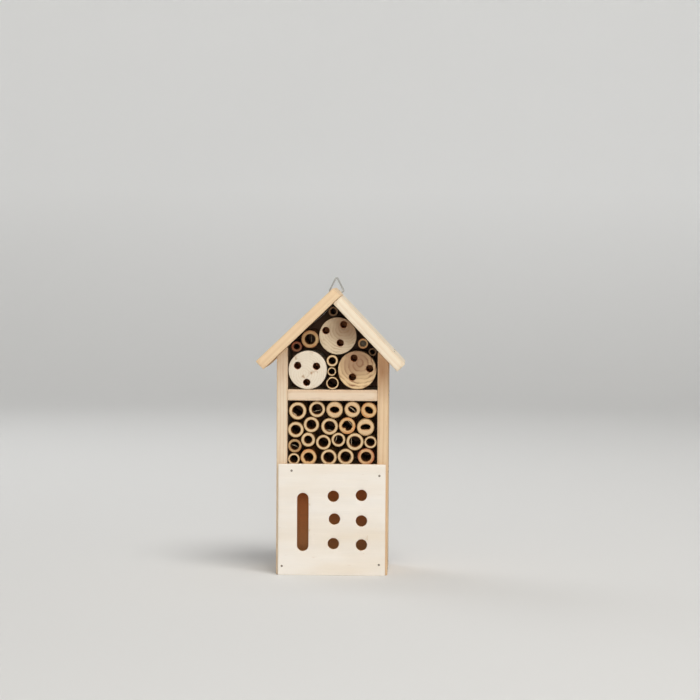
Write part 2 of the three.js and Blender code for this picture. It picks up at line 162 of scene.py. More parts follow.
class Paint:
    """A material and its node tree, with a short call for each kind of node used here."""

    def __init__(self, name):
        self.material = bpy.data.materials.new(name)
        self.material.use_nodes = True
        self.tree = self.material.node_tree
        # where a point of the surface is, in the object's frame
        self.place = self.node("TexCoord").outputs["Object"]

    def node(self, kind, inputs=None, **settings):
        """A new node with its settings and inputs."""
        made = self.tree.nodes.new("ShaderNode" + kind)
        for key, value in settings.items():
            setattr(made, key, value)
        self.feed(made, inputs or {})
        return made

    def feed(self, node, inputs):
        """Links or sets the inputs of a node, given by name or by number."""
        for key, value in inputs.items():
            if isinstance(value, bpy.types.NodeSocket):
                self.tree.links.new(value, node.inputs[key])
            else:
                node.inputs[key].default_value = value

    def part(self, vector, axis):
        """One coordinate of a vector."""
        return self.node("SeparateXYZ", {"Vector": vector}).outputs[axis]

    def facing(self, axis):
        """How much the surface faces along an axis, from -1 to 1."""
        return self.part(self.node("NewGeometry").outputs["True Normal"], axis)

    def mark(self):
        """The number that the mesh carries at each point."""
        return self.node("Attribute", attribute_name="mark").outputs["Fac"]

    def math(self, operation, *values, clamp=False):
        """The result of a math node."""
        inputs = dict(enumerate(values))
        return self.node("Math", inputs, operation=operation, use_clamp=clamp).outputs[0]

    def times(self, first, *others):
        """The product of some values."""
        for other in others:
            first = self.math("MULTIPLY", first, other)
        return first

    def vector_math(self, operation, *values):
        """The result of a vector math node: a number for a length, or else a vector."""
        made = self.node("VectorMath", dict(enumerate(values)), operation=operation)
        return made.outputs["Value" if operation == "LENGTH" else "Vector"]

    def placed(self, vector, location=(0, 0, 0), rotation=(0, 0, 0), scale=(1, 1, 1)):
        """A vector moved, turned and scaled. A small scale stretches a pattern along an axis."""
        made = self.node("Mapping", {
            "Vector": vector, "Location": location, "Rotation": rotation, "Scale": scale,
        })
        return made.outputs[0]

    def noise(self, vector, per_metre, detail=3.0, roughness=0.55, output="Fac", **placing):
        """Noise read at a vector, or where that vector is after it is moved, turned or stretched."""
        made = self.node("TexNoise", {
            "Vector": self.placed(vector, **placing) if placing else vector,
            "Scale": per_metre, "Detail": detail, "Roughness": roughness,
        })
        return made.outputs[output]

    def spread(self, value, low, high):
        """A 0 to 1 value stretched onto another range."""
        made = self.node("MapRange", {"Value": value, "To Min": low, "To Max": high})
        return made.outputs[0]

    def between(self, value, start, end):
        """How far a value has come from a start to an end, 0 to 1."""
        made = self.node("MapRange", {"Value": value, "From Min": start, "From Max": end})
        return made.outputs[0]

    def ramp(self, value, *stops):
        """A value read off a curve of straight lines: stops are (where, level)."""
        return self.scale(value, [(where, (level, level, level, 1)) for where, level in stops])

    def rise(self, value, low, high, top=1.0):
        """0 up to a low value, and from there straight up to the top at a high one."""
        return self.ramp(value, (0, 0), (low, 0), (high, top))

    def colours(self, value, *stops):
        """A colour read off a scale: stops are (where, colour on a screen)."""
        return self.scale(value, [(where, linear(colour)) for where, colour in stops])

    def scale(self, value, stops):
        """The colour ramp behind both: stops are (where, colour in the shader)."""
        made = self.node("ValToRGB", {"Fac": value})
        elements = made.color_ramp.elements
        while len(elements) < len(stops):
            elements.new(0.5)
        for element, (where, colour) in zip(elements, stops):
            element.position = where
            element.color = colour
        return made.outputs["Color"]

    def mix(self, factor, first, second, blend="MIX"):
        """Two colours mixed. The numbers are the sockets for colours among the node's many."""
        inputs = {0: factor, 6: linear(first), 7: linear(second)}
        return self.node("Mix", inputs, data_type="RGBA", blend_type=blend).outputs[2]

    def cover(self, colour, tint, *masks):
        """A colour covered with a tint, by as much as the product of the masks."""
        return self.mix(self.times(*masks), colour, tint)

    def shade(self, colour, *tones):
        """A colour made lighter or darker by tones near 1."""
        return self.mix(1.0, colour, self.times(*tones), "MULTIPLY")

    def distance(self, vector, spot):
        """How far a place is, in X and Z, from a spot."""
        away = self.placed(vector, location=(-spot[0], 0, -spot[1]), scale=(1, 0, 1))
        return self.vector_math("LENGTH", away)

    def finish(self, colour, roughness, relief=(), specular=0.5, metallic=0.0):
        """The finished material. Relief is (height, depth in metres) pairs, the coarsest first."""
        normal = {}
        for height, depth in relief:
            bump = self.node("Bump", {"Height": height, "Distance": depth, **normal})
            normal = {"Normal": bump.outputs["Normal"]}
        self.feed(self.tree.nodes["Principled BSDF"], {
            "Base Color": colour, "Roughness": roughness, "Specular IOR Level": specular,
            "Metallic": metallic, **normal,
        })
        return self.material


def growth_rings(paint, vector, wander, size, across, gap):
    """Yearly rings round a line through the origin, bent by a colour noise.

    Gives the bent place, and how far it is through its ring, 0 to 1. Across is 1 along the two axes
    that cross the grain.
    """
    wander = paint.vector_math("SUBTRACT", wander, (0.5, 0.5, 0.5))
    wander = paint.vector_math("MULTIPLY", wander, Vector(across) * size)
    bent = paint.vector_math("ADD", vector, wander)
    reach = paint.vector_math("LENGTH", paint.vector_math("MULTIPLY", bent, across))
    return bent, paint.math("FRACT", paint.math("DIVIDE", reach, gap))


def sawn_wood(name, along, heart, pale, dark, ring_gap, contrast, stain_and_shade=None):
    """Softwood cut from a tree whose heart runs along a direction, through a point.

    The rings, fibres and resin canals are solid, so faces and ends of a board agree. A stain is
    the height where the wood starts to turn brown, the height where it is brownest, and how much:
    partly a brown stain in the wood, partly painted shadow from the roof.
    """
    paint = Paint(name)
    turn = along.rotation_difference(Z)
    local = paint.placed(paint.place, location=-(turn @ heart), rotation=turn.to_euler())
    slow = paint.placed(local, scale=(1, 1, 0.1))
    wander = paint.noise(slow, 26, 2, 0.5, "Color")
    rings = growth_rings(paint, local, wander, 9 * MM, (1, 1, 0), ring_gap)[1]
    late = paint.ramp(rings, (0, 0.05), (0.5, 0.12), (0.88, 1), (0.97, 0.25), (1, 0.05))
    fade = paint.spread(paint.noise(slow, 55, 2), 0.45, 1.25)
    late = paint.math("MULTIPLY", paint.times(late, fade), contrast, clamp=True)
    colour = paint.mix(late, pale, dark)

    fibre = paint.noise(local, 1700, 4, 0.6, scale=(1, 1, 0.025))
    coarse = paint.noise(local, 420, 3, 0.6, scale=(1, 1, 0.04))
    colour = paint.shade(colour, paint.spread(fibre, 0.93, 1.05), paint.spread(coarse, 0.95, 1.04))
    canals = paint.noise(local, 1100, 2, 0.5, location=(3, 1, 2), scale=(1, 1, 0.05))
    colour = paint.cover(colour, (150, 104, 62), paint.rise(canals, 0.67, 0.74), 0.28)
    blotch = paint.rise(paint.noise(local, 34, 3), 0.42, 0.8)
    colour = paint.cover(colour, (214, 160, 108), blotch, 0.16)
    # Darker towards the top: partly a brown stain, partly painted shadow from the roof above
    if stain_and_shade:
        start, brownest, strength = stain_and_shade
        risen = paint.between(paint.part(paint.place, "Z"), start, brownest)
        streaks = paint.spread(paint.noise(slow, 210, 3), 0.3 * strength, strength)
        colour = paint.cover(colour, (174, 126, 86), risen, streaks)
    upward = paint.rise(paint.facing("Z"), 0.55, 0.69)
    grey = paint.spread(paint.noise(local, 70, 4, 0.6), -0.1, 0.3)
    colour = paint.cover(colour, (176, 162, 142), upward, grey)
    rubbed = paint.spread(paint.noise(local, 160, 3), 0, 0.6)
    colour = paint.cover(colour, (205, 170, 128), paint.rise(paint.mark(), 0.3, 0.5), rubbed)
    relief = [(paint.math("SUBTRACT", coarse, late), 0.05 * MM), (fibre, 0.06 * MM)]
    return paint.finish(colour, paint.spread(fibre, 0.54, 0.76), relief, 0.32)


def smudged(paint, colour, centre, spots, tint, strength):
    """A colour with ragged smudges. Each is x and z from a centre and a reach, in millimetres."""
    ragged = paint.noise(paint.place, 520, 5, 0.75, rotation=(0, 0.6, 0), scale=(1, 0.1, 0.45))
    ragged = paint.spread(ragged, -0.6, 1.9)
    for x, z, reach in spots:
        away = paint.distance(paint.place, (centre.x + x * MM, centre.z + z * MM))
        edge = paint.math("ADD", paint.math("DIVIDE", away, reach * MM), ragged)
        depth = paint.ramp(edge, (0, 1), (0.6, 0.9), (1, 0))
        colour = paint.cover(colour, tint, depth, strength)
    return colour


# ---------------------------------------------------------------- outlines

def middle_of(node):
    """The middle of a node's box."""
    low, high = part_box(node)
    return (low + high) / 2


def size_of(node):
    """The size of a node's box."""
    low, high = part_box(node)
    return high - low


def section(node, ahead=0.0):
    """The closed outlines, in X and Z, of a cut through the middle of a CAD node, largest first.

    The plane lies across Y, and may be moved ahead of the middle.
    """
    mesh = bmesh.new()
    mesh.from_mesh(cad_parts[node].data)
    bmesh.ops.remove_doubles(mesh, verts=mesh.verts, dist=1e-6)
    everything = mesh.verts[:] + mesh.edges[:] + mesh.faces[:]
    spot = middle_of(node) - Y * ahead
    cut = bmesh.ops.bisect_plane(mesh, geom=everything, plane_co=spot, plane_no=Y)
    beside = {}
    for edge in cut["geom_cut"]:
        if isinstance(edge, bmesh.types.BMEdge):
            for one, other in (edge.verts, reversed(edge.verts)):
                beside.setdefault(one, []).append(other)
    loops = []
    while beside:
        here = next(iter(beside))
        loop = []
        while here in beside:
            loop.append((here.co.x, here.co.z))
            onward = [v for v in beside.pop(here) if v in beside]
            here = onward[0] if onward else None
        loops.append(np.array(loop))
    mesh.free()
    loops.sort(key=lambda loop: -abs(area(loop)))
    return [loop if area(loop) > 0 else loop[::-1] for loop in loops]


def area(loop):
    """Area inside a loop, positive if it runs anticlockwise seen from the front."""
    x, z = loop[:, 0], loop[:, 1]
    return 0.5 * float(np.sum(x * np.roll(z, -1) - np.roll(x, -1) * z))


STRAIGHT = 0.9995  # cosine of the angle under which two sides count as one


def corners_of(loop, shortest=2.5 * MM):
    """The sharp corners of a loop whose corners are cut or rounded: where its long sides meet."""
    sides = []
    for start, end in zip(loop, np.roll(loop, -1, axis=0)):
        way = end - start
        length = np.hypot(*way)
        if length < 1e-7:
            continue
        way = way / length
        if sides and np.dot(sides[-1][1], way) > STRAIGHT:
            sides[-1][2] += length
        else:
            sides.append([start, way, length])
    if np.dot(sides[0][1], sides[-1][1]) > STRAIGHT:
        sides[0] = [sides[-1][0], sides[0][1], sides[0][2] + sides[-1][2]]
        sides.pop()
    sides = [side for side in sides if side[2] > shortest]
    corners = []
    for (a, u, _), (b, v, _) in zip(sides, sides[1:] + sides[:1]):
        along = ((b[0] - a[0]) * v[1] - (b[1] - a[1]) * v[0]) / (u[0] * v[1] - u[1] * v[0])
        corners.append(a + u * along)
    return np.array(corners)


def filleted(corners, radius, step, bends=5):
    """A polygon with rounded corners, as points at most a step apart and some round each bend."""
    arcs = []
    for before, corner, after in zip(np.roll(corners, 1, 0), corners, np.roll(corners, -1, 0)):
        come = (corner - before) / np.hypot(*(corner - before))
        go = (after - corner) / np.hypot(*(after - corner))
        turn = math.atan2(come[0] * go[1] - come[1] * go[0], float(np.dot(come, go)))
        middle = corner - come * radius * math.tan(turn / 2) + np.array((-come[1], come[0])) * radius
        first = math.atan2(-come[0], come[1])
        angles = first + turn * np.linspace(0, 1, bends)
        arcs.append([middle + radius * np.array((math.cos(a), math.sin(a))) for a in angles])
    points = []
    for arc, following in zip(arcs, arcs[1:] + arcs[:1]):
        points.extend(arc)
        gap = following[0] - arc[-1]
        count = int(np.hypot(*gap) // step)
        points.extend(arc[-1] + gap * (i + 1) / (count + 1) for i in range(count))
    return np.array(points)


def middle_and_radius(loop):
    """Centre and mean radius of a round loop."""
    centre = (loop.min(0) + loop.max(0)) / 2
    return centre, float(np.hypot(*(loop - centre).T).mean())


def ripples(dice, counts, size, low, high):
    """Waves round a circle: (how many round it, a size between low and high shares, a phase)."""
    return [(n, dice.uniform(low, high) * size, dice.uniform(0, TAU)) for n in counts]


def swell(angles, waves):
    """How far some waves lift a circle at each angle."""
    return sum(size * np.cos(n * angles + phase) for n, size, phase in waves)


def circle(centre, radius, count, waves=()):
    """A circle as points, lifted by any waves."""
    angles = np.linspace(0, TAU, count, endpoint=False)
    reach = radius + swell(angles, waves)
    return np.array(centre) + np.stack((reach * np.cos(angles), reach * np.sin(angles)), 1)


SLOT_STEPS = 24  # round each end of a slot


def capsule(loop, step):
    """An upright slot with round ends that fills the box of a loop."""
    low, high = loop.min(0), loop.max(0)
    radius = (high[0] - low[0]) / 2
    bottom, top = low + radius, high - radius  # the middles of its ends
    end = circle((0, 0), radius, 2 * SLOT_STEPS)
    steps = np.arange(step, top[1] - bottom[1], step)[:, None] * (0, 1)
    return np.concatenate((
        bottom + end[SLOT_STEPS:], (high[0], bottom[1]) + steps,
        top + end[:SLOT_STEPS], (low[0], top[1]) - steps,
    ))


def outward(loop):
    """Unit normals that point out of an anticlockwise loop."""
    way = np.roll(loop, -1, 0) - np.roll(loop, 1, 0)
    way = way / np.maximum(np.hypot(*way.T), 1e-9)[:, None]
    return np.stack((way[:, 1], -way[:, 0]), 1)


def inside(points, loop):
    """Which of some points are inside a loop."""
    x, z = points[:, 0][:, None], points[:, 1][:, None]
    x0, z0 = loop[:, 0], loop[:, 1]
    x1, z1 = np.roll(x0, -1), np.roll(z0, -1)
    rise = np.where(z1 == z0, 1e-12, z1 - z0)
    crossings = ((z0 > z) != (z1 > z)) & (x < (x1 - x0) * (z - z0) / rise + x0)
    return crossings.sum(1) % 2 == 1


def on_face(points, rim, holes):
    """Which of some points are inside a rim and outside the holes in it."""
    keep = inside(points, rim)
    for hole in holes:
        keep &= ~inside(points, hole)
    return keep


# ---------------------------------------------------------------- solids

# Loose points on a flat face, in shares of their spacing: how far they stray, and how near they
# come to the face's edge
STRAY = 0.3
EDGE_CLEARANCE = 0.55
WAVES, NICKS = 55, 380  # to the metre, of weathered wood
SEED_SHIFT = Vector((1.7, 0.9, 2.3))  # of their pattern, from one seed to the next
SAME_PLACE = 1e-9


class Solid:
    """Points and faces of a mesh, built up row by row."""

    def __init__(self):
        self.points = []
        self.faces = []
        self.marks = []  # one number for each point, which materials read

    def add(self, points, mark=0.0):
        """Adds points, and gives their numbers."""
        first = len(self.points)
        self.points.extend(map(tuple, points))
        self.marks.extend([mark] * len(points))
        return list(range(first, len(self.points)))

    def row(self, loop, depth, mark=0.0):
        """A closed row of points at a depth."""
        return self.add([(x, depth, z) for x, z in loop], mark)

    def wall(self, rows):
        """Faces between each closed row and the next."""
        for near, far in zip(rows, rows[1:]):
            for i in range(len(near)):
                j = (i + 1) % len(near)
                self.faces.append((near[i], near[j], far[j], far[i]))

    def tip(self, row, point, mark=0.0):
        """Closes a row to one point."""
        apex = self.add([point], mark)[0]
        for i, index in enumerate(row):
            self.faces.append((index, row[(i + 1) % len(row)], apex))

    def lids(self, rows):
        """Closes the first and the last row, each with one face."""
        self.faces += [tuple(rows[0]), tuple(rows[-1])]

    def loft(self, sections, mark=0.0):
        """An open tube through sections: each is a middle, two ways across, and an outline."""
        rows = [
            self.add([middle + across * a + over * b for a, b in outline], mark)
            for middle, across, over, outline in sections
        ]
        self.wall(rows)
        return rows

    def cap(self, rim, holes, depth, spacing, dice):
        """A flat face between a rim and the holes in it, with loose points all over it."""
        loops = [rim, *holes]
        flat = [np.array([(self.points[i][0], self.points[i][2]) for i in loop]) for loop in loops]
        edge = np.concatenate(flat)
        low, high = edge.min(0), edge.max(0)
        grid = np.array([
            (x + dice.uniform(-STRAY, STRAY) * spacing, z + dice.uniform(-STRAY, STRAY) * spacing)
            for x in np.arange(low[0] + spacing / 2, high[0], spacing)
            for z in np.arange(low[1] + spacing / 2, high[1], spacing)
        ]).reshape(-1, 2)
        grid = grid[on_face(grid, flat[0], flat[1:])]
        clearance = EDGE_CLEARANCE * spacing
        clear = [np.min(np.hypot(*(edge - point).T)) > clearance for point in grid]
        grid = grid[np.array(clear, bool)]
        known = [i for loop in loops for i in loop]  # the numbers of the face's points
        known += self.add([(x, depth, z) for x, z in grid])
        borders = []
        for loop in loops:
            start = len(borders)
            borders += [(start + i, start + (i + 1) % len(loop)) for i in range(len(loop))]
        plane = [Vector(p) for p in np.concatenate((edge, grid))]
        spots, _, triangles, origins, *_ = delaunay_2d_cdt(plane, borders, [], 1, SAME_PLACE)
        middles = np.array([
            sum((np.array(spots[i]) for i in triangle), np.zeros(2)) / 3 for triangle in triangles
        ])
        for triangle, wanted in zip(triangles, on_face(middles, flat[0], flat[1:])):
            if wanted:
                self.faces.append(tuple(known[origins[i][0]] for i in triangle))

    def weathered(self, waviness, nicks, seed):
        """Moves every point a little, in slow waves and in small nicks."""
        shift = SEED_SHIFT * seed
        moved = []
        for point in self.points:
            place = Vector(point)
            slow = noise.noise_vector(place * WAVES + shift)
            fine = noise.noise_vector(place * NICKS + shift)
            moved.append(tuple(place + slow * waviness + fine * nicks))
        self.points = moved

    def build(self, name, material, crease=38):
        """The mesh object, with its faces out and shaded smooth between creases."""
        mesh = bpy.data.meshes.new(name)
        mesh.from_pydata(self.points, [], self.faces)
        shape = bmesh.new()
        shape.from_mesh(mesh)
        bmesh.ops.recalc_face_normals(shape, faces=shape.faces[:])
        shape.to_mesh(mesh)
        shape.free()
        mesh.shade_smooth()
        mesh.set_sharp_from_angle(angle=math.radians(crease))
        marks = mesh.attributes.new("mark", "FLOAT", "POINT")
        marks.data.foreach_set("value", self.marks)
        mesh.materials.append(material)
        return in_scene(name, mesh)


# How a kind of wood is cut: radius of its arrises, distance between loose points on its faces and
# between rows through its thickness, depth of its waves and nicks, radius of its outline's corners,
# distance between its outline's points, and the angle in degrees where its shading breaks
Cut = namedtuple("Cut", "arris spacing rows waviness nicks corner step crease",
                 defaults=(0.8 * MM, 4 * MM, 38))
SAWN = Cut(0.6 * MM, 4 * MM, 6 * MM, 0.12 * MM, 0.035 * MM)
PLYWOOD = Cut(0.45 * MM, 3 * MM, 0.8 * MM, 0.05 * MM, 0.02 * MM, step=2.5 * MM, crease=50)
FIBREBOARD = Cut(0.3 * MM, 5 * MM, 1 * MM, 0.06 * MM, 0.02 * MM, corner=0.6 * MM)
LOG = Cut(0.7 * MM, 2.2 * MM, 5 * MM, 0.1 * MM, 0.05 * MM)

ARRIS = 0.5  # the mark on a worn edge
HOLE_WALL = 1.0  # the mark on the wall of a drilled or sawn hole
HOLE_EASE = 0.6  # how much of a board's arris the mouth of a hole gets
DRILL_POINT = 0.3  # how far a drill's point goes beyond its hole's wall, as a share of its radius
DRILL_ROWS = 8
BACK_SPACING = 1.5  # the spacing of loose points on a back face, against a front face
ARRIS_ANGLES = [math.radians(a) for a in (0, 30, 60, 90)]


def rounded_profile(front, back, radius, step):
    """Pairs of inset and depth, from one face round both arrises to the other."""
    near = [(radius * (1 - math.sin(a)), front + radius * (1 - math.cos(a))) for a in ARRIS_ANGLES]
    count = max(1, round((back - front - 2 * radius) / step))
    depths = np.linspace(front + radius, back - radius, count + 1)[1:-1]
    between = [(0.0, depth) for depth in depths]
    far = [(inset, back + front - depth) for inset, depth in reversed(near)]
    return near + between + far


def slab(outline, front, back, cut, dice, holes=()):
    """A solid board between two depths with rounded arrises.

    Each hole is a loop and a depth: None runs right through, a number is where a drill stopped.
    """
    solid = Solid()
    profile = rounded_profile(front, back, cut.arris, cut.rows)
    normals = outward(outline)
    rows = [
        solid.row(outline - normals * inset, depth, ARRIS if inset > 0 else 0)
        for inset, depth in profile
    ]
    solid.wall(rows)
    mouths, exits = [], []
    for loop, stop in holes:
        widening = outward(loop) * HOLE_EASE
        hole_rows = [
            solid.row(loop + widening * inset, depth, HOLE_WALL if inset < cut.arris / 2 else 0)
            for inset, depth in (profile if stop is None else profile[:len(ARRIS_ANGLES)])
        ]
        if stop is None:
            exits.append(hole_rows[-1])
        else:
            centre, reach = middle_and_radius(loop)
            depths = np.linspace(front + cut.arris, stop, DRILL_ROWS + 1)[1:]
            hole_rows += [solid.row(loop, depth, HOLE_WALL) for depth in depths]
            point = (centre[0], stop + reach * DRILL_POINT, centre[1])
            solid.tip(hole_rows[-1], point, HOLE_WALL)
        solid.wall(hole_rows)
        mouths.append(hole_rows[0])
    solid.cap(rows[0], mouths, front, cut.spacing, dice)
    solid.cap(rows[-1], exits, back, cut.spacing * BACK_SPACING, dice)
    return solid


def settle(thing, body, slot, *nodes):
    """Rides a piece on its body and hides the CAD nodes that it stands for. The slot is not used."""
    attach(thing, body)
    if nodes:
        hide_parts(*nodes)


# ---------------------------------------------------------------- boards

ROOF_GAP = 0.42 * MM  # upright gap that the CAD boards keep under the roof


def board(node, name, cut, material, slot, seed, holes=(), dice=None):
    """A board in the place of its CAD node. Those under the roof are pushed up tight against it."""
    low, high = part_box(node)
    corners = corners_of(section(node)[0])
    if node.startswith(("side_board", "back_panel")):
        corners[corners[:, 1] > middle_of(node).z] += (0, ROOF_GAP)
    outline = filleted(corners, cut.corner, cut.step)
    solid = slab(outline, low.y, high.y, cut, dice or random.Random(seed), holes)
    solid.weathered(cut.waviness, cut.nicks, seed)
    settle(solid.build(name, material, cut.crease), HOUSE, slot, node)


def slope_way(node):
    """The direction of a roof board's length, pointing down the slope."""
    corners = corners_of(section(node)[0])
    sides = [b - a for a, b in zip(corners, np.roll(corners, -1, 0))]
    longest = max(sides, key=lambda side: np.hypot(*side))
    longest = longest if longest[1] < 0 else -longest
    return Vector((longest[0], 0, longest[1])).normalized()


# How much the wood is darkened under the roof: partly a brown stain, partly painted roof shadow
STAIN_AND_ROOF_SHADE = {"side_board_left": 0.45, "side_board_right": 1.25}
STAIN_AND_SHADE_START, STAIN_AND_SHADE_END = 50 * MM, 20 * MM  # below the board's top


def make_boards():
    """The box's boards and the roof, each sawn from its own part of a tree."""
    left_slope, right_slope = slope_way("roof_board_left"), slope_way("roof_board_right")
    # direction of the grain, the tree's heart as seen from the board's middle, pale and dark wood,
    # ring gap in millimetres, contrast
    woods = [
        ("side_board_left", Z, (-0.085, 0.02, 0), (232, 215, 190), (202, 162, 118), 2.4, 0.45),
        ("side_board_right", Z, (0.07, 0.03, 0), (230, 202, 166), (194, 146, 98), 2.8, 0.55),
        ("shelf_upper", X, (0, 0.04, 0.075), (232, 211, 186), (202, 160, 118), 7.0, 0.4),
        ("shelf_lower", X, (0, 0.05, -0.06), (230, 206, 172), (196, 152, 106), 3.0, 0.5),
        ("base_board", X, (0, -0.05, -0.06), (231, 205, 168), (194, 150, 104), 2.6, 0.5),
        ("roof_board_left", left_slope, (-0.06, 0.05, 0.06),
         (236, 208, 171), (212, 168, 120), 4.4, 0.35),
        ("roof_board_right", right_slope, (0.05, 0.06, 0.05),
         (241, 227, 204), (222, 188, 148), 3.6, 0.35),
    ]
    for seed, (node, along, aside, pale, dark, ring_gap, contrast) in enumerate(woods):
        heart = middle_of(node) + Vector(aside)
        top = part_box(node)[1].z
        stain_and_shade = (top - STAIN_AND_SHADE_START, top - STAIN_AND_SHADE_END, STAIN_AND_ROOF_SHADE[node]) if node in STAIN_AND_ROOF_SHADE else None
        pine = sawn_wood(node + "_pine", along, heart, pale, dark, ring_gap * MM, contrast, stain_and_shade)
        slot = "roof_board" if node.startswith("roof") else "pine_board"
        board(node, node + "_wood", SAWN, pine, slot, seed)


# Resin stains on the front panel: (x and z from its centre, reach), in millimetres
PANEL_SPOTS = [(33.0, -17.5, 5.5), (-21.0, 14.5, 3.0), (-20.6, -9.8, 3.4)]


def veneer():
    """Pale rotary-cut veneer on thin plywood, with its plies showing on every cut edge."""
    paint = Paint("thin_plywood")
    place = paint.place
    bands = paint.noise(place, 190, 4, 0.6, scale=(0.06, 1, 1))
    figure = paint.noise(place, 42, 3, 0.5, scale=(0.22, 1, 1))
    figure = paint.ramp(figure, (0, 0), (0.35, 0.1), (0.62, 0.6), (0.8, 1))
    colour = paint.mix(figure, (243, 237, 229), (234, 220, 200))
    fibre = paint.noise(place, 2100, 3, 0.6, scale=(0.02, 1, 1))
    colour = paint.shade(colour, paint.spread(bands, 0.94, 1.04), paint.spread(fibre, 0.96, 1.03))
    specks = paint.rise(paint.noise(place, 620, 2, scale=(0.25, 1, 1)), 0.7, 0.78)
    colour = paint.cover(colour, (176, 132, 88), specks, 0.22)
    colour = smudged(paint, colour, middle_of("front_panel"), PANEL_SPOTS, (204, 168, 104), 0.6)

    low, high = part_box("front_panel")
    through = paint.between(paint.part(place, "Y"), low.y, high.y)
    plies = paint.ramp(through, (0, 0.1), (0.3, 0.15), (0.34, 0.9), (0.66, 0.9), (0.7, 0.15))
    core = paint.noise(place, 900, 3, 0.6, scale=(1, 0.3, 1))
    cut_edge = paint.mix(plies, (226, 196, 152), (170, 120, 74))
    cut_edge = paint.shade(cut_edge, paint.spread(core, 0.8, 1.1))
    sideways = paint.math("ABSOLUTE", paint.facing("Y"))
    sideways = paint.ramp(sideways, (0, 1), (0.3, 1), (0.7, 0))
    colour = paint.mix(sideways, colour, cut_edge)
    relief = [(bands, 0.05 * MM), (fibre, 0.03 * MM)]
    return paint.finish(colour, paint.spread(fibre, 0.5, 0.68), relief, 0.3)


NAIL_HOLE = 2 * MM  # the panel's holes under this radius hold nails
PANEL_SEED = 11
PANEL_HOLE_SIDES = 44


def make_front_panel():
    """The nailed-on front panel. Its nail holes are left out, because the heads fill them."""
    node = "front_panel"
    dice = random.Random(PANEL_SEED)
    holes = []
    for loop in section(node)[1:]:
        centre, radius = middle_and_radius(loop)
        width, height = loop.max(0) - loop.min(0)
        if radius < NAIL_HOLE:
            continue
        if height > 2 * width:
            holes.append((capsule(loop, PLYWOOD.step), None))
        else:
            waves = ripples(dice, (2, 3, 7), MM, 0.01, 0.05)
            holes.append((circle(centre, width / 2, PANEL_HOLE_SIDES, waves), None))
    board(node, "front_panel_ply", PLYWOOD, veneer(), "thin_plywood", PANEL_SEED, holes, dice)


# Where the chamber's back grows paler towards its floor: dust and a painted sheen of light
DUST_AND_SHEEN_TOP, DUST_AND_SHEEN_STRONGEST = 60 * MM, 5 * MM  # above the lower chamber's floor


def hardboard():
    """Fibre board, smooth inside and dull with a fine screen pattern on the back. Inside, it is
    painted far brighter and redder than hardboard in the lower chamber as painted light, paler near
    the chamber's floor with dust and a painted sheen, and dark behind the nesting tubes as painted
    shade."""
    paint = Paint("hardboard")
    place, height = paint.place, paint.part(paint.place, "Z")
    fibre = paint.noise(place, 900, 4, 0.65)
    cloud = paint.noise(place, 60, 3, 0.5)
    # Painted light: the lower chamber's inner face is far brighter and redder than hardboard
    chamber = paint.mix(cloud, (250, 150, 84), (246, 138, 70))
    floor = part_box("base_board")[1].z
    # Paler near the chamber's floor: partly dust, partly a painted sheen of light falling there
    dust_and_sheen = paint.between(height, floor + DUST_AND_SHEEN_TOP, floor + DUST_AND_SHEEN_STRONGEST)
    chamber = paint.cover(chamber, (252, 186, 124), dust_and_sheen, 0.75)
    # Painted shade: the inner face is dark behind the nesting tubes, where little light reaches
    shade_behind_tubes = paint.math("GREATER_THAN", height, middle_of("shelf_lower").z)
    inner = paint.mix(shade_behind_tubes, chamber, (98, 68, 46))
    outer = paint.mix(cloud, (160, 114, 74), (132, 90, 56))
    scuffs = paint.rise(paint.noise(place, 38, 6, 0.72), 0.48, 0.72, 0.4)
    outer = paint.mix(scuffs, outer, (188, 146, 104))
    facing = paint.facing("Y")
    colour = paint.mix(paint.math("LESS_THAN", facing, -0.9), outer, inner)
    colour = paint.shade(colour, paint.spread(fibre, 0.8, 1.15))
    weave = [paint.math("GREATER_THAN", facing, 0.9)]
    for axis in ("X", "Z"):
        wave = {"Vector": place, "Scale": 220.0, "Distortion": 0.6, "Detail": 1.0}
        weave.append(paint.node("TexWave", wave, bands_direction=axis).outputs["Fac"])
    relief = [(paint.times(*weave), 0.12 * MM), (fibre, 0.05 * MM)]
    return paint.finish(colour, paint.spread(fibre, 0.7, 0.85), relief)


def make_back_panel():
    """The gabled back panel."""
    board("back_panel", "back_panel_board", FIBREBOARD, hardboard(), "hardboard", seed=12)


# ---------------------------------------------------------------- drilled logs

